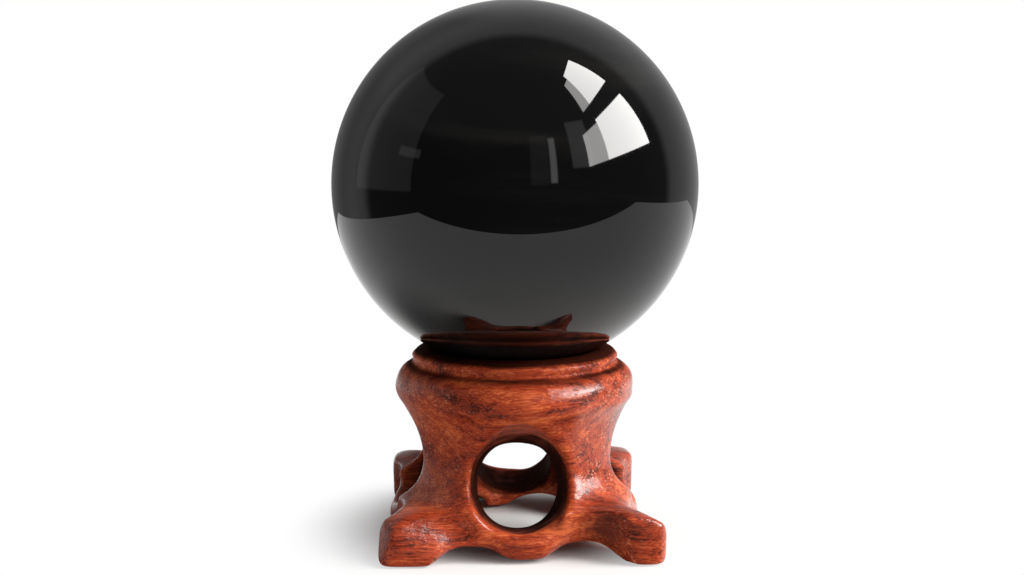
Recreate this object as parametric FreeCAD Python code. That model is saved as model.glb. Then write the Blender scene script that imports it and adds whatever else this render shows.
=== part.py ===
"""Polished black ball resting in the dished top of a one-piece carved hardwood stand.

Millimetres and degrees, +Z up. The origin is on the floor, under the ball's centre.
"""
import FreeCAD, Part
import math
import os
from FreeCAD import Vector

# Ball
ball_diameter = 60.0
seat_clearance = 0.1        # gap between the ball and the dish, all over
ball_radius = ball_diameter / 2

# Turned top: a dish for the ball, a bead round it, a bulge below and a waist
stand_height = 31.0         # top of the bead
seat_radius = 13.5          # rim of the dish
rim_drop = 0.15             # dish rim below the bead's top
bead_radius = 17.15         # widest part of the bead
bead_inset = 0.35           # how far the crease under the bead lies inside its widest part
bulge_radius = 19.95        # widest part of the bulge
bulge_height = 24.7         # where it is widest
bulge_round = 3.95          # its section radius
bulge_turn = 40.0           # how far its section turns in below its widest part
neck_radius = 18.0          # hollow stretch between the bulge and the waist
neck_height = 20.0
waist_radius = 17.4
waist_top = 16.0
waist_bottom = 13.0

# Skirt: the flared foot of the turned body
skirt_radius = 21.2         # widest part of the skirt
skirt_height = 3.2          # where it is widest
lip_height = 5.8            # where the flare from the waist ends and the skirt's rounded lip begins
flare_out = 0.33            # middle of the flare: share of the way out from waist to lip
flare_down = 0.52           # and share of the way down
skirt_lift = 0.3            # underside clear of the floor, so that the four feet carry the weight
skirt_tuck = 0.8            # how far the lip's top and bottom edges are tucked in

# Corner legs, left from the block that the stand is carved from. Each foot was finished by
# hand, so each has its own reach to its two outer faces, its own height at its corner, and
# its own height at the knee, where the leg's steep top turns out towards the foot.
front_left_reach = 22.2
front_left_height = 5.4
front_left_knee = 7.7
front_right_reach = 22.8
front_right_height = 7.0
front_right_knee = 8.5
back_right_reach = 22.2
back_right_height = 7.6
back_right_knee = 8.5
back_left_reach = 21.3
back_left_height = 7.6
back_left_knee = 8.2
foot_edge_round = 1.4
leg_start = 6.2             # a leg begins this far from the middle of each side
leg_top = 13.4              # where a leg leaves the waist
knee_radius = 20.4
knee_bend = 0.3             # sideways share of the way from waist to knee at half its height
foot_crown = 0.7            # how far a leg's top arches above the line from knee to corner

# Facet whittled off the front left foot's outer corner: it starts at the toe and widens upward
facet_turn = 62.0           # the way it faces in plan, from the front towards the left
facet_lean = 20.5           # how far it leans in from upright
facet_inset = 0.35          # its distance in from the foot's square corner, on the floor

# Scoops between the feet and the middle of each side. The front's left one is shallow, and
# the two side ones behind the front feet bite closer to their feet and higher.
scoop_radius = 7.2
scoop_offset = 9.5          # sideways from the middle of the side
biting_offset = 10.6
scoop_face = 17.6           # nearest that a scoop comes to the stand's axis, on the floor
shallow_face = 19.7
scoop_lean = 15.0           # the scoops lean out towards their top
biting_lean = 8.0
scoop_height = 12.0
front_shift = 1.0           # the front's scoops and arches lie this far right of its middle
back_shift = 3.5            # the back's lie this far right of its middle, seen from behind

# Arches under each side
arch_offset = 8.7
arch_span = 12.2
arch_rise = 2.7

# Windows, one in each side: round, tapering and sloping down towards the middle
window_radius = 8.0         # at the waist's surface
window_height = 12.2        # centre, at the waist's surface
window_taper = 8.5
window_slope = 20.0

# Hollow that the windows meet in, open below
hollow_radius = 9.6
hollow_height = 16.0

turned_axis = Vector(0, 0, 1)
origin = Vector(0, 0, 0)
overrun = 1.0               # how far a cutter runs past what it cuts

seat_sphere_radius = ball_radius + seat_clearance
seat_rim_z = stand_height - rim_drop
ball_centre_z = seat_rim_z + math.sqrt(seat_sphere_radius**2 - seat_radius**2)
dish_bottom_z = ball_centre_z - seat_sphere_radius
longest_reach = max(front_left_reach, front_right_reach, back_right_reach, back_left_reach)


def at(radius, height):
    """Point of a turned profile."""
    return Vector(radius, 0, height)


def arc(start, middle, end):
    return Part.Arc(start, middle, end).toShape()


def turned(edges):
    """Solid of revolution about Z from a closed chain of profile edges."""
    face = Part.Face(Part.Wire(edges))
    return face.revolve(origin, turned_axis, 360)


def on_side(shape, quarter):
    """The shape turned from the front (0) to the right (1), back (2) or left (3)."""
    copy = shape.copy()
    copy.rotate(origin, turned_axis, 90 * quarter)
    return copy


def dish_arc():
    """The ball's seat, from its centre out to the rim."""
    half_angle = math.asin(seat_radius / seat_sphere_radius) / 2
    middle = at(
        seat_sphere_radius * math.sin(half_angle),
        ball_centre_z - seat_sphere_radius * math.cos(half_angle),
    )
    return arc(at(0, dish_bottom_z), middle, at(seat_radius, seat_rim_z))


def turned_body():
    """Dish, bead, bulge, waist and flared skirt, as left by the lathe."""
    bulge_centre = at(bulge_radius - bulge_round, bulge_height)
    crease_radius = bead_radius - bead_inset
    crease_rise = math.sqrt(bulge_round**2 - (crease_radius - bulge_centre.x)**2)
    crease = at(crease_radius, bulge_height + crease_rise)
    rim = at(seat_radius, seat_rim_z)
    bead_top = at((seat_radius + bead_radius) / 2, stand_height)
    bead_side = at(bead_radius, (crease.z + stand_height) / 2)
    bulge_side = at(bulge_radius, bulge_height)
    turn = math.radians(bulge_turn)
    bulge_end = at(
        bulge_centre.x + bulge_round * math.cos(turn),
        bulge_centre.z - bulge_round * math.sin(turn),
    )
    waist_upper = at(waist_radius, waist_top)
    waist_lower = at(waist_radius, waist_bottom)
    lip_top = at(skirt_radius - skirt_tuck, lip_height)
    flare = at(
        waist_radius + flare_out * (lip_top.x - waist_radius),
        waist_bottom + flare_down * (lip_top.z - waist_bottom),
    )
    lip_side = at(skirt_radius, skirt_height)
    lip_bottom = at(skirt_radius - skirt_tuck, skirt_lift)
    edges = [
        dish_arc(),
        arc(rim, bead_top, bead_side),
        Part.makeLine(bead_side, crease),
        arc(crease, bulge_side, bulge_end),
        arc(bulge_end, at(neck_radius, neck_height), waist_upper),
        Part.makeLine(waist_upper, waist_lower),
        arc(waist_lower, flare, lip_top),
        arc(lip_top, lip_side, lip_bottom),
        Part.makeLine(lip_bottom, at(0, skirt_lift)),
        Part.makeLine(at(0, skirt_lift), at(0, dish_bottom_z)),
    ]
    return turned(edges)


def leg_tops(reach, height, knee_height):
    """Turned form that gives a leg its top line: steep to the knee, then out to the foot."""
    top = at(waist_radius, leg_top)
    knee = at(knee_radius, knee_height)
    bend = at(waist_radius + knee_bend * (knee.x - top.x), (top.z + knee.z) / 2)
    corner = at(reach * math.sqrt(2), height)
    crown = at((knee.x + corner.x) / 2, (knee.z + corner.z) / 2 + foot_crown)
    edges = [
        arc(top, bend, knee),
        arc(knee, crown, corner),
        Part.makeLine(corner, at(corner.x, 0)),
        Part.makeLine(at(corner.x, 0), at(0, 0)),
        Part.makeLine(at(0, 0), at(0, leg_top)),
        Part.makeLine(at(0, leg_top), top),
    ]
    return turned(edges)


def leg(reach, height, knee_height):
    """The front right leg of the block, with its foot."""
    side = reach - leg_start
    post = Part.makeBox(side, side, leg_top, Vector(leg_start, -reach, 0))
    outer = [edge for edge in post.Edges if is_upright_at(edge, reach, -reach)]
    return post.makeFillet(foot_edge_round, outer).common(leg_tops(reach, height, knee_height))


def is_upright_at(edge, x, y):
    ends = [vertex.Point for vertex in edge.Vertexes]
    return all(abs(end.x - x) < 1e-6 and abs(end.y - y) < 1e-6 for end in ends)


def corner_facet():
    """Block whose flat inner face is the facet, in place at the front left foot."""
    turn = math.radians(facet_turn)
    outward = Vector(-math.sin(turn), -math.cos(turn), 0)
    toe = Vector(-front_left_reach, -front_left_reach, 0) - outward * facet_inset
    side = 2 * front_left_reach
    block = Part.makeBox(side, side, side, Vector(0, -side / 2, -side / 2))
    block.rotate(origin, Vector(0, 1, 0), -facet_lean)
    block.rotate(origin, turned_axis, -90 - facet_turn)
    block.translate(toe)
    return block


def legs():
    return [
        on_side(leg(front_right_reach, front_right_height, front_right_knee), 0),
        on_side(leg(back_right_reach, back_right_height, back_right_knee), 1),
        on_side(leg(back_left_reach, back_left_height, back_left_knee), 2),
        on_side(leg(front_left_reach, front_left_height, front_left_knee), 3).cut(corner_facet()),
    ]


def scoop(middle, face=scoop_face, lean_angle=scoop_lean):
    """Round gouge cut down the front, with its lowest point at this distance right of centre."""
    lean = math.radians(lean_angle)
    axis = Vector(0, -math.sin(lean), math.cos(lean))
    centre = Vector(middle, -face - scoop_radius / math.cos(lean), 0)
    return Part.makeCylinder(scoop_radius, scoop_height + overrun, centre - axis * overrun, axis)


def arch(middle):
    """Low arch under the front rail, with its top at this distance right of centre."""
    half_span = arch_span / 2
    radius = (half_span**2 + arch_rise**2) / (2 * arch_rise)
    start = Vector(middle, -longest_reach - overrun, arch_rise - radius)
    length = longest_reach + overrun - hollow_radius / 2
    return Part.makeCylinder(radius, length, start, Vector(0, 1, 0))


def window():
    """Tapering round cutter for the front window."""
    slope = math.radians(window_slope)
    inward = Vector(0, math.cos(slope), -math.sin(slope))
    centre = Vector(0, -waist_radius, window_height)
    outside = (longest_reach - waist_radius) * math.sqrt(2) + overrun
    inside = waist_radius
    widening = math.tan(math.radians(window_taper))
    return Part.makeCone(
        window_radius + outside * widening,
        window_radius - inside * widening,
        outside + inside,
        centre - inward * outside,
        inward,
    )


def front_cuts():
    left = scoop(front_shift - scoop_offset, face=shallow_face)
    right = scoop(front_shift + scoop_offset)
    return [left, right, arch(front_shift - arch_offset), arch(front_shift + arch_offset)]


def right_cuts():
    near_front = scoop(-biting_offset, lean_angle=biting_lean)
    return [near_front, scoop(scoop_offset), arch(-arch_offset), arch(arch_offset)]


def back_cuts():
    scoops = [scoop(back_shift - scoop_offset), scoop(back_shift + scoop_offset)]
    return scoops + [arch(back_shift - arch_offset), arch(back_shift + arch_offset)]


def left_cuts():
    near_front = scoop(biting_offset, lean_angle=biting_lean)
    return [near_front, scoop(-scoop_offset), arch(-arch_offset), arch(arch_offset)]


def hollow():
    """Flat-ended bore from below."""
    return Part.makeCylinder(hollow_radius, hollow_height + overrun, Vector(0, 0, -overrun))


def stand():
    body = turned_body().fuse(legs())
    cutters = [hollow()]
    for quarter, cuts in enumerate([front_cuts(), right_cuts(), back_cuts(), left_cuts()]):
        cutters += [on_side(cutter, quarter) for cutter in cuts + [window()]]
    return body.cut(cutters).removeSplitter()


def ball():
    return Part.makeSphere(ball_radius, Vector(0, 0, ball_centre_z))


def write(name, shape):
    """One closed solid to parts/NAME.step."""
    solid = shape.Solids[0]
    print(name, "solids:", len(shape.Solids), "valid:", shape.isValid(), "mm3:", round(solid.Volume))
    solid.exportStep(os.path.join("parts", name + ".step"))


os.makedirs("parts", exist_ok=True)
write("stand", stand())
write("ball", ball())
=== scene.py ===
"""Looks of a polished black ball in its carved hardwood stand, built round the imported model."""
import math

import bmesh
import bpy
import numpy as np
from mathutils import Euler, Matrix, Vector, noise
from mathutils.bvhtree import BVHTree


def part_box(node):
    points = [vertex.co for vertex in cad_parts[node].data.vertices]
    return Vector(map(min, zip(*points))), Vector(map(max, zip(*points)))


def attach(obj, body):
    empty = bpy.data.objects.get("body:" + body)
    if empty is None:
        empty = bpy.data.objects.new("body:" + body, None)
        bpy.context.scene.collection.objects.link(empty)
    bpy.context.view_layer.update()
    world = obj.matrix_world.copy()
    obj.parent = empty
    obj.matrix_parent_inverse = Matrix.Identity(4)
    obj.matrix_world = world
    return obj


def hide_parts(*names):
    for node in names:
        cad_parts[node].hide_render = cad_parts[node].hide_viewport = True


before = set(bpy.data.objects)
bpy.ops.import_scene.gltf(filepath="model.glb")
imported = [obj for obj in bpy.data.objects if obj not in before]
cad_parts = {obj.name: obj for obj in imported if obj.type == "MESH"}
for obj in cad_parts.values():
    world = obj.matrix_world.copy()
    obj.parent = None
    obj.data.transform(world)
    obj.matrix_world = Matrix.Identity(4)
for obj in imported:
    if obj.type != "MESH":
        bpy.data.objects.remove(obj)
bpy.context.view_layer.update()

MM = 0.001

# Camera: in front of the stand and a little to its left, looking slightly down
CAMERA_DISTANCE = 225 * MM
CAMERA_HEIGHT = 69.8 * MM
CAMERA_TURN = math.radians(2.6)      # how far the stand's front is turned to the viewer's right
CAMERA_TILT = math.radians(7.36)
CAMERA_AIM = math.radians(0.12)
LENS = 47.95
SENSOR = 36.0

# Room: a white table by a tall two-pane window on the right, dim behind the camera
TABLE_X = (-0.24, 0.45)              # what the ball reflects of the table
TABLE_Y = (-0.135, 0.35)
FLOOR_REACH = 3.0
TABLE_WHITE = (0.72, 0.72, 0.715, 1)
SEEN_FADE = (0.014, 0.040)           # distances between which the camera sees it fade to plain white
LIT_FADE = (0.030, 0.095)            # and between which the light that it throws back does
WINDOW_X = 1.2
PANES = {                            # from where to where along the wall and in height, radiance
    "lower_pane": ((-0.78, 0.04), (0.43, 1.10), 21.0),
    "lower_curtain": ((-1.28, -0.78), (0.43, 1.04), 8.0),
    "upper_pane": ((-0.70, 0.03), (1.43, 2.85), 19.0),
    "upper_curtain": ((-0.98, -0.70), (1.43, 2.60), 7.0),
}
WINDOW_COLOUR = (1.0, 0.985, 0.965)
DARK_ROOM = 0.075
CEILING = 0.14
CEILING_EDGE = (22, 34)              # degrees of elevation over which the ceiling begins
BACK_WALL = 0.42
BACK_WALL_EDGE = (0.18, 0.34)        # the same for the back wall, as the direction's Y
SHADE = 0.50                         # how much darker it gets towards the back left
SHADE_BACK = (0.45, 0.75)
SHADE_LEFT = (0.0, -0.25)
ROOM_PATCHES = (                     # azimuth and elevation ranges in degrees, added radiance
    ((33, 47), (12, 38), 0.55),
    ((19, 23), (4, 30), 1.5),
    ((7, 18), (3, 32), 0.12),
    ((-80, -64), (15, 19.5), 0.35),
    ((-115, -68), (-2, 50), 0.20),
)
PATCH_SOFTNESS = 0.8                 # degrees

# Carved wood surface
VOXEL = 0.3 * MM
EDGE_ROUNDING = 10                   # smoothing passes all over
WORN_ROUNDING = 70                   # and on the hand-finished lower half
WORN_TOP = (19 * MM, 22.5 * MM)      # fades out between these heights
TOOL_MARK_DEPTH = 0.13 * MM
TOOL_MARK_SIZE = 4.2 * MM
SURFACE_DEPTH = 0.02 * MM
SURFACE_SIZE = 1.3 * MM
SOLE_FADE = (0.1 * MM, 1.2 * MM)     # heights between which the marks set in above the flat soles
SEAT_FADE = (0.4 * MM, 2.0 * MM)     # gaps to the ball between which they set in round the seat
SEAT_SHADE_REACH = 2.2 * MM                # painted shade darkens the wood where the ball comes this near
OCCLUSION_REACH = 17.0 * MM               # and where the wood itself closes in within this distance
OCCLUSION_RAYS = 24
OCCLUSION_START = 0.05 * MM               # how far above the surface its rays start
OCCLUSION_LEAN = 1.05                     # how much they lean to the surface's normal
OCCLUSION_BLUR = 6                        # smoothing passes

# Cuts of the knife on the front feet: a point on each cut, the way it faces, the corner of the
# stand that it is in, and the distances from the stand's axis between which it sets in
RIGHT_CUT = {
    "point": Vector((22.3, -22.3, 6.9)) * MM,
    "normal": Vector((0.465, 0.270, 0.843)).normalized(),
    "corner": (1, -1),
    "zone": (19.5 * MM, 23.5 * MM),
}
LEFT_CUT = {
    "point": Vector((-15.5, -21.6, 3.6)) * MM,
    "normal": Vector((0.22, -0.75, 0.62)).normalized(),
    "corner": (-1, -1),
    "zone": (20.5 * MM, 23.5 * MM),
}

# Wood: its colours, and how many cells of each pattern there are in a millimetre, the grain
# lying along X
WOOD_BASE = (0.30, 0.037, 0.0120, 1)
WOOD_LIGHT = (0.57, 0.120, 0.036, 1)
WOOD_DARK = (0.058, 0.0085, 0.0045, 1)
WOOD_PORE = (0.022, 0.006, 0.004, 1)
WOOD_WAX = (0.60, 0.22, 0.12, 1)     # pale wax and dust in the end-grain pores
# painted shade: near-black laid over the wood where it is closed in and round the ball's seat
WOOD_PAINTED_SHADE = (0.008, 0.003, 0.002, 1)
BEND = (0.035, 0.085, 0.085)
BEND_DEPTH = (0, 6, 6)               # millimetres
STREAKS = (0.032, 1.1, 1.1)
FIBRES = (0.15, 5.5, 5.5)
STAIN = (0.09, 0.13, 0.13)
FLECKS = (1.3, 2.6, 2.6)
PORES = (0.24, 2.3, 2.3)
PORE_ZONES = (0.08, 0.40, 0.40)
END_PORES = (0.8, 2.0, 2.0)
WAX_ZONES = (0.5, 0.5, 0.5)
RIPPLE = (1.1, 1.6, 1.6)
BANDS = 0.42
PITH = (0.0, 34.0, -22.0)            # millimetres; the tree's centre line, along X
KNOT = (13.5, -19.0, 5.5)            # millimetres
KNOT_EDGE = (5.2, 1.0)               # millimetres from its middle
RELIEF = 0.11 * MM
WAX_IOR = 1.45

# Ball
BALL_DETAIL = 7                      # subdivisions of an icosphere
STONE_BLACK = (0.0012, 0.0012, 0.0013, 1)
STONE_BAND = (0.0060, 0.0055, 0.0048, 1)
STONE_ROUGHNESS = (0.012, 0.045)
STONE_IOR = 1.45


def mesh_arrays(mesh):
    """Vertex positions and edges as arrays."""
    points = np.zeros(len(mesh.vertices) * 3)
    mesh.vertices.foreach_get("co", points)
    edges = np.zeros(len(mesh.edges) * 2, dtype=int)
    mesh.edges.foreach_get("vertices", edges)
    return points.reshape(-1, 3), edges.reshape(-1, 2)


def set_points(mesh, points):
    mesh.vertices.foreach_set("co", points.ravel())
    mesh.update()


def normals(mesh):
    out = np.zeros(len(mesh.vertices) * 3)
    mesh.vertices.foreach_get("normal", out)
    return out.reshape(-1, 3)


def neighbour_counts(points, edges):
    return np.bincount(edges.ravel(), minlength=len(points)).astype(float)


def neighbour_mean(points, edges, counts):
    total = np.zeros_like(points)
    for axis in range(points.shape[1]):
        for a, b in ((0, 1), (1, 0)):
            total[:, axis] += np.bincount(
                edges[:, a], weights=points[edges[:, b], axis], minlength=len(points)
            )
    return total / counts[:, None]


def smooth(points, edges, passes, inward=0.5, outward=-0.52):
    """Rounds edges without shrinking the whole, by turns of smoothing in and out."""
    counts = neighbour_counts(points, edges)
    for _ in range(passes):
        for share in (inward, outward):
            points = points + share * (neighbour_mean(points, edges, counts) - points)
    return points


def wear(points, edges, passes, weight):
    """Plain smoothing: rounds edges and fills creases, and pulls round forms in a little."""
    counts = neighbour_counts(points, edges)
    for _ in range(passes):
        points = points + 0.5 * weight * (neighbour_mean(points, edges, counts) - points)
    return points


def step_up(values, low, high):
    """Smooth step of an array's values, from 0 at low to 1 at high."""
    share = np.clip((values - low) / (high - low), 0, 1)
    return share * share * (3 - 2 * share)


def pare(points, cut):
    """Brings what stands above a cut of the knife down to it."""
    away = np.hypot(points[:, 0], points[:, 1])
    here = step_up(away, *cut["zone"])
    for axis, sign in enumerate(cut["corner"]):
        here = here * (points[:, axis] * sign > 0)
    normal = np.array(cut["normal"])
    above = np.maximum((points - np.array(cut["point"])) @ normal, 0)
    return points - (above * here)[:, None] * normal


def voxel_copy(node, name):
    """A fine, even, closed mesh of a CAD node."""
    source = node.data.copy()
    build = bmesh.new()
    build.from_mesh(source)
    bmesh.ops.remove_doubles(build, verts=build.verts, dist=1e-6)
    build.to_mesh(source)
    build.free()
    piece = bpy.data.objects.new(name, source)
    bpy.context.scene.collection.objects.link(piece)
    remesh = piece.modifiers.new("even", "REMESH")
    remesh.mode = "VOXEL"
    remesh.voxel_size = VOXEL
    graph = bpy.context.evaluated_depsgraph_get()
    even = bpy.data.meshes.new_from_object(piece.evaluated_get(graph))
    piece.modifiers.clear()
    piece.data = even
    even.materials.clear()
    return piece


def bumps(points, size, offset):
    """Smooth noise from -1 to 1, sampled at each point."""
    shift = Vector(offset)
    return np.array([noise.noise(Vector(p) / size + shift) for p in points])


def closeness(mesh, points, directions, cover):
    """How closed in each vertex is by the stand and its cover, from 0 (open) to 1."""
    corners = [Vector(p) for p in points] + [vertex.co for vertex in cover.vertices]
    faces = [tuple(face.vertices) for face in mesh.polygons]
    faces += [tuple(i + len(points) for i in face.vertices) for face in cover.polygons]
    tree = BVHTree.FromPolygons(corners, faces)
    share = np.zeros(len(points))
    for index, (point, normal) in enumerate(zip(points, normals(mesh))):
        start = Vector(point + normal * OCCLUSION_START)
        up = Vector(normal)
        hits = 0
        for direction in directions:
            ray = (direction + up * OCCLUSION_LEAN).normalized()
            if tree.ray_cast(start, ray, OCCLUSION_REACH)[0] is not None:
                hits += 1
        share[index] = hits / len(directions)
    return share


def even_directions(count):
    """Directions spread evenly over a sphere."""
    golden = math.pi * (3 - math.sqrt(5))
    found = []
    for i in range(count):
        z = 1 - 2 * (i + 0.5) / count
        r = math.sqrt(1 - z * z)
        found.append(Vector((r * math.cos(golden * i), r * math.sin(golden * i), z)))
    return found


def gap_to_ball(points):
    low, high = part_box("ball")
    middle = np.array((low + high) / 2)
    return np.linalg.norm(points - middle, axis=1) - (high.x - low.x) / 2


def shaped(points, edges):
    """The stand's vertices with the feet pared and the edges rounded by hand."""
    for cut in (RIGHT_CUT, LEFT_CUT):
        points = pare(points, cut)
    worn = 1 - step_up(points[:, 2], *WORN_TOP)
    points = wear(points, edges, WORN_ROUNDING, worn[:, None])
    return smooth(points, edges, EDGE_ROUNDING)


def tool_marks(points, gap):
    """Height of the tool marks at each vertex: none on the soles and none in the turned seat."""
    depth = TOOL_MARK_DEPTH * bumps(points, TOOL_MARK_SIZE, (3.1, 7.7, 1.9))
    depth += SURFACE_DEPTH * bumps(points, SURFACE_SIZE, (9.2, 0.4, 5.6))
    depth *= step_up(points[:, 2], *SOLE_FADE)
    return depth * step_up(gap, *SEAT_FADE)


def add_painted_shade(mesh, points, edges, gap, cover):
    """Stores how closed in each vertex is by the stand and the ball, as painted shade for the wood's
    material.
    """
    share = closeness(mesh, points, even_directions(OCCLUSION_RAYS), cover)
    # painted shade: full where the ball rests on the wood, a contact shadow fading as the gap grows
    share = np.maximum(share, np.clip(1 - gap / SEAT_SHADE_REACH, 0, 1))
    counts = neighbour_counts(points, edges)
    column = share[:, None]
    for _ in range(OCCLUSION_BLUR):
        column = (column + neighbour_mean(column, edges, counts)) / 2
    occlusion_shade = mesh.attributes.new("occlusion_shade", "FLOAT", "POINT")
    occlusion_shade.data.foreach_set("value", column.ravel())


def carved_stand(cover):
    """The stand as carved by hand: softened edges, faint tool marks, and painted shade stored for its
    hollows and round the ball.
    """
    piece = voxel_copy(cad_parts["stand"], "carved_stand")
    mesh = piece.data
    points, edges = mesh_arrays(mesh)
    points = shaped(points, edges)
    set_points(mesh, points)
    gap = gap_to_ball(points)
    points = points + normals(mesh) * tool_marks(points, gap)[:, None]
    points[:, 2] = np.maximum(points[:, 2] - points[:, 2].min(), 0)
    set_points(mesh, points)
    add_painted_shade(mesh, points, edges, gap, cover)
    for polygon in mesh.polygons:
        polygon.use_smooth = True
    return piece


class Nodes:
    """Short calls for building a node tree."""

    def __init__(self, tree):
        self.tree = tree
        tree.nodes.clear()

    def add(self, kind, **settings):
        node = self.tree.nodes.new(kind)
        for key, value in settings.items():
            setattr(node, key, value)
        return node

    def connect(self, socket, value):
        """Gives a socket a value or another node's output."""
        if isinstance(value, bpy.types.NodeSocket):
            self.tree.links.new(value, socket)
        else:
            socket.default_value = value

    def feed(self, node, **inputs):
        """The same for each named input."""
        for key, value in inputs.items():
            self.connect(node.inputs[key.replace("_", " ")], value)
        return node

    def math(self, operation, *values, clamp=False):
        node = self.add("ShaderNodeMath", operation=operation, use_clamp=clamp)
        for socket, value in zip(node.inputs, values):
            self.connect(socket, value)
        return node.outputs[0]

    def vector(self, operation, *values):
        node = self.add("ShaderNodeVectorMath", operation=operation)
        for socket, value in zip(node.inputs, values):
            self.connect(socket, value)
        return node.outputs["Value" if operation in ("LENGTH", "DISTANCE") else "Vector"]

    def axes(self, vector):
        node = self.add("ShaderNodeSeparateXYZ")
        self.connect(node.inputs[0], vector)
        return node.outputs

    def noise(self, vector, scale=1.0, detail=2.0, roughness=0.5, distortion=0.0, output="Fac"):
        node = self.add("ShaderNodeTexNoise")
        self.feed(node, Vector=vector, Scale=scale, Detail=detail)
        self.feed(node, Roughness=roughness, Distortion=distortion)
        return node.outputs[output]

    def cells(self, vector):
        """Distance to the nearest of scattered points, about one to each unit."""
        node = self.add("ShaderNodeTexVoronoi", feature="F1")
        self.feed(node, Vector=vector, Scale=1.0, Randomness=1.0)
        return node.outputs["Distance"]

    def ramp(self, value, low, high, start=0.0, end=1.0):
        """Smooth step of value between low and high."""
        node = self.add("ShaderNodeMapRange", interpolation_type="SMOOTHSTEP")
        self.feed(node, Value=value, From_Min=low, From_Max=high, To_Min=start, To_Max=end)
        return node.outputs["Result"]

    def mix(self, share, first, second):
        """Colour mix."""
        node = self.add("ShaderNodeMix", data_type="RGBA")
        for index, value in ((0, share), (6, first), (7, second)):
            self.connect(node.inputs[index], value)
        return node.outputs[2]

    def bump(self, height, strength):
        node = self.add("ShaderNodeBump")
        self.feed(node, Height=height, Strength=strength, Distance=RELIEF)
        return node.outputs[0]

    def millimetres(self):
        """Places on the piece, in millimetres."""
        place = self.add("ShaderNodeTexCoord").outputs["Object"]
        return self.vector("MULTIPLY", place, (1 / MM, 1 / MM, 1 / MM))

    def finish(self, shader, kind="Material"):
        output = self.add("ShaderNodeOutput" + kind)
        self.tree.links.new(shader.outputs[0], output.inputs[0])


def new_material(name):
    material = bpy.data.materials.new(name)
    material.use_nodes = True
    return material, Nodes(material.node_tree)


def bent_grain(n, mm):
    """Places along the grain, which wanders gently about X."""
    wander = n.noise(n.vector("MULTIPLY", mm, BEND), output="Color")
    return n.vector("MULTIPLY_ADD", wander, BEND_DEPTH, mm)


def growth_bands(n, grain):
    """Bands round the pith."""
    across = n.vector("MULTIPLY", n.vector("SUBTRACT", grain, PITH), (0, 1, 1))
    ring = n.add("ShaderNodeCombineXYZ")
    n.feed(ring, X=n.vector("LENGTH", across))
    return n.noise(ring.outputs[0], scale=BANDS, detail=4.0, roughness=0.62)


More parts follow.
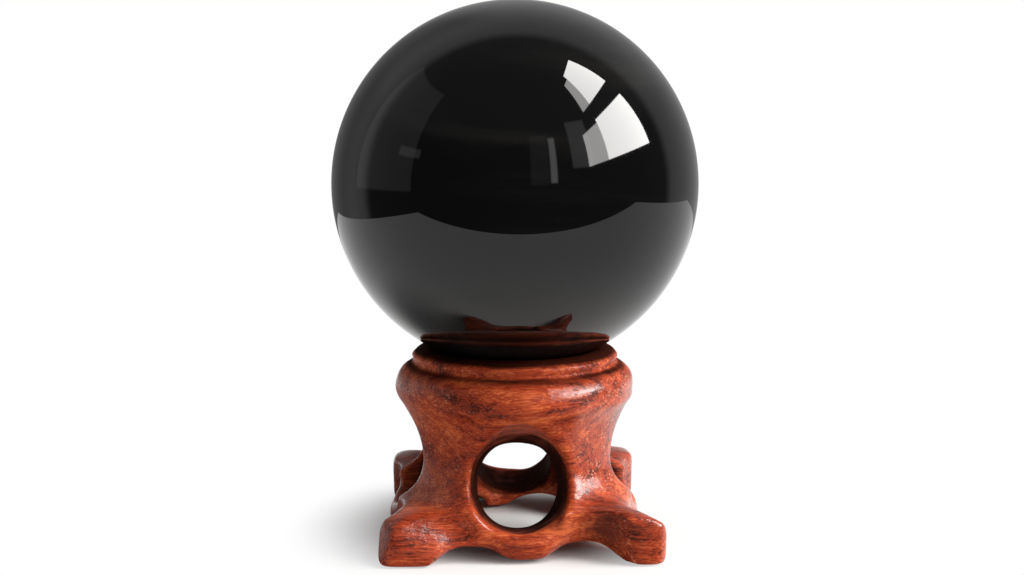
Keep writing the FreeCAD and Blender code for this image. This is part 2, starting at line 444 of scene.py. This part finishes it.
def wood_material():
    """Reddish open-pored hardwood with its grain along X, rubbed with wax."""
    material, n = new_material("rosewood")
    mm = n.millimetres()
    grain = bent_grain(n, mm)

    # growth bands, broken streaks and fibres along the grain, and blotches of the stain
    bands = growth_bands(n, grain)
    streaks = n.noise(n.vector("MULTIPLY", grain, STREAKS), detail=4.0, roughness=0.62)
    fibres = n.noise(n.vector("MULTIPLY", grain, FIBRES), detail=3.0, roughness=0.65)
    stain = n.noise(n.vector("MULTIPLY", mm, STAIN), detail=3.0)
    flecks = n.noise(n.vector("MULTIPLY", mm, FLECKS), detail=3.0, roughness=0.7)
    tone = n.math("ADD", n.math("MULTIPLY", bands, 0.50), n.math("MULTIPLY", streaks, 0.50))
    for source, share in ((stain, 0.50), (fibres, 0.62), (flecks, 0.24)):
        tone = n.math("ADD", tone, n.math("MULTIPLY", n.math("SUBTRACT", source, 0.5), share))
    colour = n.mix(n.ramp(tone, 0.49, 0.70), WOOD_BASE, WOOD_LIGHT)
    colour = n.mix(n.ramp(tone, 0.50, 0.30), colour, WOOD_DARK)

    # pores: long fine vessels along the grain
    vessels = n.ramp(n.cells(n.vector("MULTIPLY", grain, PORES)), 0.25, 0.11)
    pore = n.math("MULTIPLY", vessels, n.ramp(n.noise(n.vector("MULTIPLY", mm, PORE_ZONES)), 0.46, 0.60))
    colour = n.mix(n.math("MULTIPLY", pore, 0.72), colour, WOOD_PORE)

    # pale wax caught in the pores that stay open on the end grain
    facing = n.axes(n.add("ShaderNodeNewGeometry").outputs["Normal"])
    end_grain = n.ramp(n.math("ABSOLUTE", facing["X"]), 0.25, 0.85)
    ends = n.ramp(n.cells(n.vector("MULTIPLY", grain, END_PORES)), 0.42, 0.20)
    sprinkle = n.ramp(n.noise(n.vector("MULTIPLY", mm, WAX_ZONES)), 0.40, 0.62)
    wax = n.math("MULTIPLY", n.math("MULTIPLY", ends, sprinkle), n.math("ADD", 0.18, end_grain))
    colour = n.mix(n.math("MULTIPLY", wax, 0.62, clamp=True), colour, WOOD_WAX)

    # painted shade, near-black where the wood is closed in and round the ball's seat, and the dark knot
    occlusion_shade = n.add("ShaderNodeAttribute", attribute_name="occlusion_shade").outputs["Fac"]
    shaded_and_dull = n.ramp(occlusion_shade, 0.24, 0.52)
    colour = n.mix(n.math("MULTIPLY", shaded_and_dull, 0.93), colour, WOOD_PAINTED_SHADE)
    ragged = n.math("MULTIPLY", n.math("SUBTRACT", flecks, 0.5), 6.0)
    from_knot = n.math("ADD", n.vector("DISTANCE", mm, KNOT), ragged)
    colour = n.mix(n.math("MULTIPLY", n.ramp(from_knot, *KNOT_EDGE), 0.78), colour, WOOD_DARK)

    # relief: open pores, fibres and the scraper's fine ripple
    ripple = n.noise(n.vector("MULTIPLY", mm, RIPPLE))
    height = n.math("MULTIPLY", pore, -0.8)
    height = n.math("ADD", height, n.math("MULTIPLY", fibres, 0.55))
    height = n.math("ADD", height, n.math("MULTIPLY", ripple, 1.1))
    height = n.math("SUBTRACT", height, n.math("MULTIPLY", n.math("MULTIPLY", ends, end_grain), 0.6))

    # roughness, and the wax polish: strongest where the wood is open and faces up or to the right
    rough = n.math("ADD", 0.30, n.math("MULTIPLY", fibres, 0.20))
    rough = n.math("ADD", rough, n.math("MULTIPLY", pore, 0.25))
    # the same painted-shade mask also makes the closed-in wood rougher and less glossy
    rough = n.math("ADD", rough, n.math("MULTIPLY", shaded_and_dull, 0.30))
    rubbed = n.math("MAXIMUM", n.ramp(facing["Z"], -0.05, 0.40), n.ramp(facing["X"], 0.20, 0.60))
    polish = n.math("MULTIPLY", n.ramp(occlusion_shade, 0.27, 0.08), rubbed)
    sheen = n.math("SUBTRACT", 1.0, n.math("MULTIPLY", shaded_and_dull, 0.88))
    coat = n.math("MULTIPLY", sheen, n.math("ADD", 0.05, n.math("MULTIPLY", polish, 0.95)))

    shader = n.add("ShaderNodeBsdfPrincipled")
    n.feed(shader, Base_Color=colour, Roughness=rough, IOR=WAX_IOR, Normal=n.bump(height, 0.75))
    n.feed(shader, Specular_IOR_Level=n.math("MULTIPLY", sheen, 0.08))
    n.feed(shader, Coat_Weight=coat, Coat_Roughness=0.15)
    n.feed(shader, Coat_IOR=WAX_IOR, Coat_Normal=n.bump(height, 0.45))
    n.finish(shader)
    return material


def obsidian_material():
    """Black volcanic glass with faint flow bands and the slight haze of handling."""
    material, n = new_material("obsidian")
    mm = n.millimetres()
    flow = n.noise(n.vector("MULTIPLY", mm, (0.02, 0.03, 0.16)), detail=4.0, distortion=0.6)
    colour = n.mix(n.ramp(flow, 0.45, 0.75), STONE_BLACK, STONE_BAND)
    haze = n.noise(n.vector("MULTIPLY", mm, (0.05, 0.05, 0.05)), detail=3.0)
    rough = n.ramp(haze, 0.35, 0.75, *STONE_ROUGHNESS)
    shader = n.add("ShaderNodeBsdfPrincipled")
    n.feed(shader, Base_Color=colour, Roughness=rough, IOR=STONE_IOR)
    n.finish(shader)
    return material


def polished_ball():
    """The ball's own smooth surface, as large as the CAD ball."""
    low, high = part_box("ball")
    centre = (low + high) / 2
    radius = (high.z - low.z) / 2
    build = bmesh.new()
    bmesh.ops.create_icosphere(build, subdivisions=BALL_DETAIL, radius=radius)
    mesh = bpy.data.meshes.new("polished_ball")
    build.to_mesh(mesh)
    build.free()
    for vertex in mesh.vertices:
        vertex.co += centre
    for polygon in mesh.polygons:
        polygon.use_smooth = True
    piece = bpy.data.objects.new("polished_ball", mesh)
    bpy.context.scene.collection.objects.link(piece)
    return piece


def plane(name, x_range, y_range, material):
    """A flat staged rectangle at floor level."""
    corners = [(x, y, 0) for x, y in (
        (x_range[0], y_range[0]), (x_range[1], y_range[0]),
        (x_range[1], y_range[1]), (x_range[0], y_range[1]),
    )]
    mesh = bpy.data.meshes.new(name)
    mesh.from_pydata(corners, [], [(0, 1, 2, 3)])
    mesh.materials.append(material)
    piece = bpy.data.objects.new(name, mesh)
    bpy.context.scene.collection.objects.link(piece)
    return piece


def floor_material():
    """Plain white, fading to an even white away from the stand, sooner as the camera sees it."""
    material, n = new_material("floor")
    distance = n.vector("LENGTH", n.add("ShaderNodeTexCoord").outputs["Object"])
    watched = n.add("ShaderNodeLightPath").outputs["Is Camera Ray"]
    seen = n.math("MULTIPLY", n.ramp(distance, *SEEN_FADE), watched)
    near = n.add("ShaderNodeBsdfPrincipled")
    n.feed(near, Base_Color=TABLE_WHITE, Roughness=0.7)
    white = n.add("ShaderNodeEmission")
    n.feed(white, Color=(1.0, 1.0, 1.0, 1), Strength=1.0)
    blend = n.add("ShaderNodeMixShader")
    parts = (n.math("MAXIMUM", n.ramp(distance, *LIT_FADE), seen), near.outputs[0], white.outputs[0])
    for socket, value in zip(blend.inputs, parts):
        n.connect(socket, value)
    n.finish(blend)
    return material


def floor():
    """The table, and round it more of the same that the ball doesn't reflect."""
    material = floor_material()
    reach = (-FLOOR_REACH, FLOOR_REACH)
    plane("table", TABLE_X, TABLE_Y, material)
    rest = (
        plane("floor_front", reach, (-FLOOR_REACH, TABLE_Y[0]), material),
        plane("floor_back", reach, (TABLE_Y[1], FLOOR_REACH), material),
        plane("floor_left", (-FLOOR_REACH, TABLE_X[0]), TABLE_Y, material),
        plane("floor_right", (TABLE_X[1], FLOOR_REACH), TABLE_Y, material),
    )
    for piece in rest:
        piece.visible_glossy = False


def pane(name, y_range, z_range, radiance):
    """One window pane on the right-hand wall, as a light."""
    width = y_range[1] - y_range[0]
    height = z_range[1] - z_range[0]
    light = bpy.data.lights.new(name, "AREA")
    light.shape = "RECTANGLE"
    light.size = height
    light.size_y = width
    light.energy = radiance * width * height * math.pi
    light.color = WINDOW_COLOUR
    lamp = bpy.data.objects.new(name, light)
    lamp.location = (WINDOW_X, sum(y_range) / 2, sum(z_range) / 2)
    lamp.rotation_euler = Euler((0, math.pi / 2, 0))
    lamp.visible_camera = False
    bpy.context.scene.collection.objects.link(lamp)


def room():
    """Dim room with a pale back wall and ceiling, white where the camera looks past the table."""
    world = bpy.data.worlds.new("room")
    bpy.context.scene.world = world
    world.use_nodes = True
    n = Nodes(world.node_tree)
    x, y, z = n.axes(n.add("ShaderNodeTexCoord").outputs["Generated"])
    degree = math.degrees(1)
    azimuth = n.math("MULTIPLY", n.math("ARCTAN2", x, n.math("MULTIPLY", y, -1.0)), degree)
    elevation = n.math("MULTIPLY", n.math("ARCSINE", z), degree)

    light = n.ramp(elevation, *CEILING_EDGE, DARK_ROOM, CEILING)
    back = n.ramp(y, *BACK_WALL_EDGE, 0.0, BACK_WALL - DARK_ROOM)
    back_left = n.math("MULTIPLY", n.ramp(y, *SHADE_BACK), n.ramp(x, *SHADE_LEFT))
    kept = n.math("SUBTRACT", 1.0, n.math("MULTIPLY", back_left, SHADE))
    light = n.math("MULTIPLY", n.math("ADD", light, back), kept)
    for turns, heights, radiance in ROOM_PATCHES:
        inside = n.math("MULTIPLY", between(n, azimuth, *turns), between(n, elevation, *heights))
        light = n.math("ADD", light, n.math("MULTIPLY", inside, radiance))

    seen = n.add("ShaderNodeLightPath").outputs["Is Camera Ray"]
    ground = n.add("ShaderNodeBackground")
    n.feed(ground, Color=(1.0, 1.0, 1.0, 1), Strength=n.math("MAXIMUM", light, seen))
    n.finish(ground, "World")


def between(n, value, low, high):
    """1 between two angles in degrees and 0 outside, its edges a little soft."""
    above = n.ramp(value, low - PATCH_SOFTNESS, low + PATCH_SOFTNESS)
    below = n.ramp(value, high + PATCH_SOFTNESS, high - PATCH_SOFTNESS)
    return n.math("MULTIPLY", above, below)


def camera():
    """In front of the stand, at the photograph's height and tilt."""
    data = bpy.data.cameras.new("camera")
    data.lens = LENS
    data.sensor_width = SENSOR
    data.clip_start = 0.01
    eye = bpy.data.objects.new("camera", data)
    eye.location = (
        -CAMERA_DISTANCE * math.sin(CAMERA_TURN),
        -CAMERA_DISTANCE * math.cos(CAMERA_TURN),
        CAMERA_HEIGHT,
    )
    eye.rotation_euler = Euler((math.pi / 2 - CAMERA_TILT, 0, CAMERA_AIM - CAMERA_TURN))
    bpy.context.scene.collection.objects.link(eye)
    bpy.context.scene.camera = eye


def main():
    camera()
    floor()
    room()
    for name, (y_range, z_range, radiance) in PANES.items():
        pane(name, y_range, z_range, radiance)
    bpy.context.scene.view_settings.view_transform = "Standard"

    ball = polished_ball()
    stand = carved_stand(ball.data)
    stand.data.materials.append(wood_material())
    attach(stand, "stand")
    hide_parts("stand")

    ball.data.materials.append(obsidian_material())
    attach(ball, "ball")
    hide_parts("ball")


main()
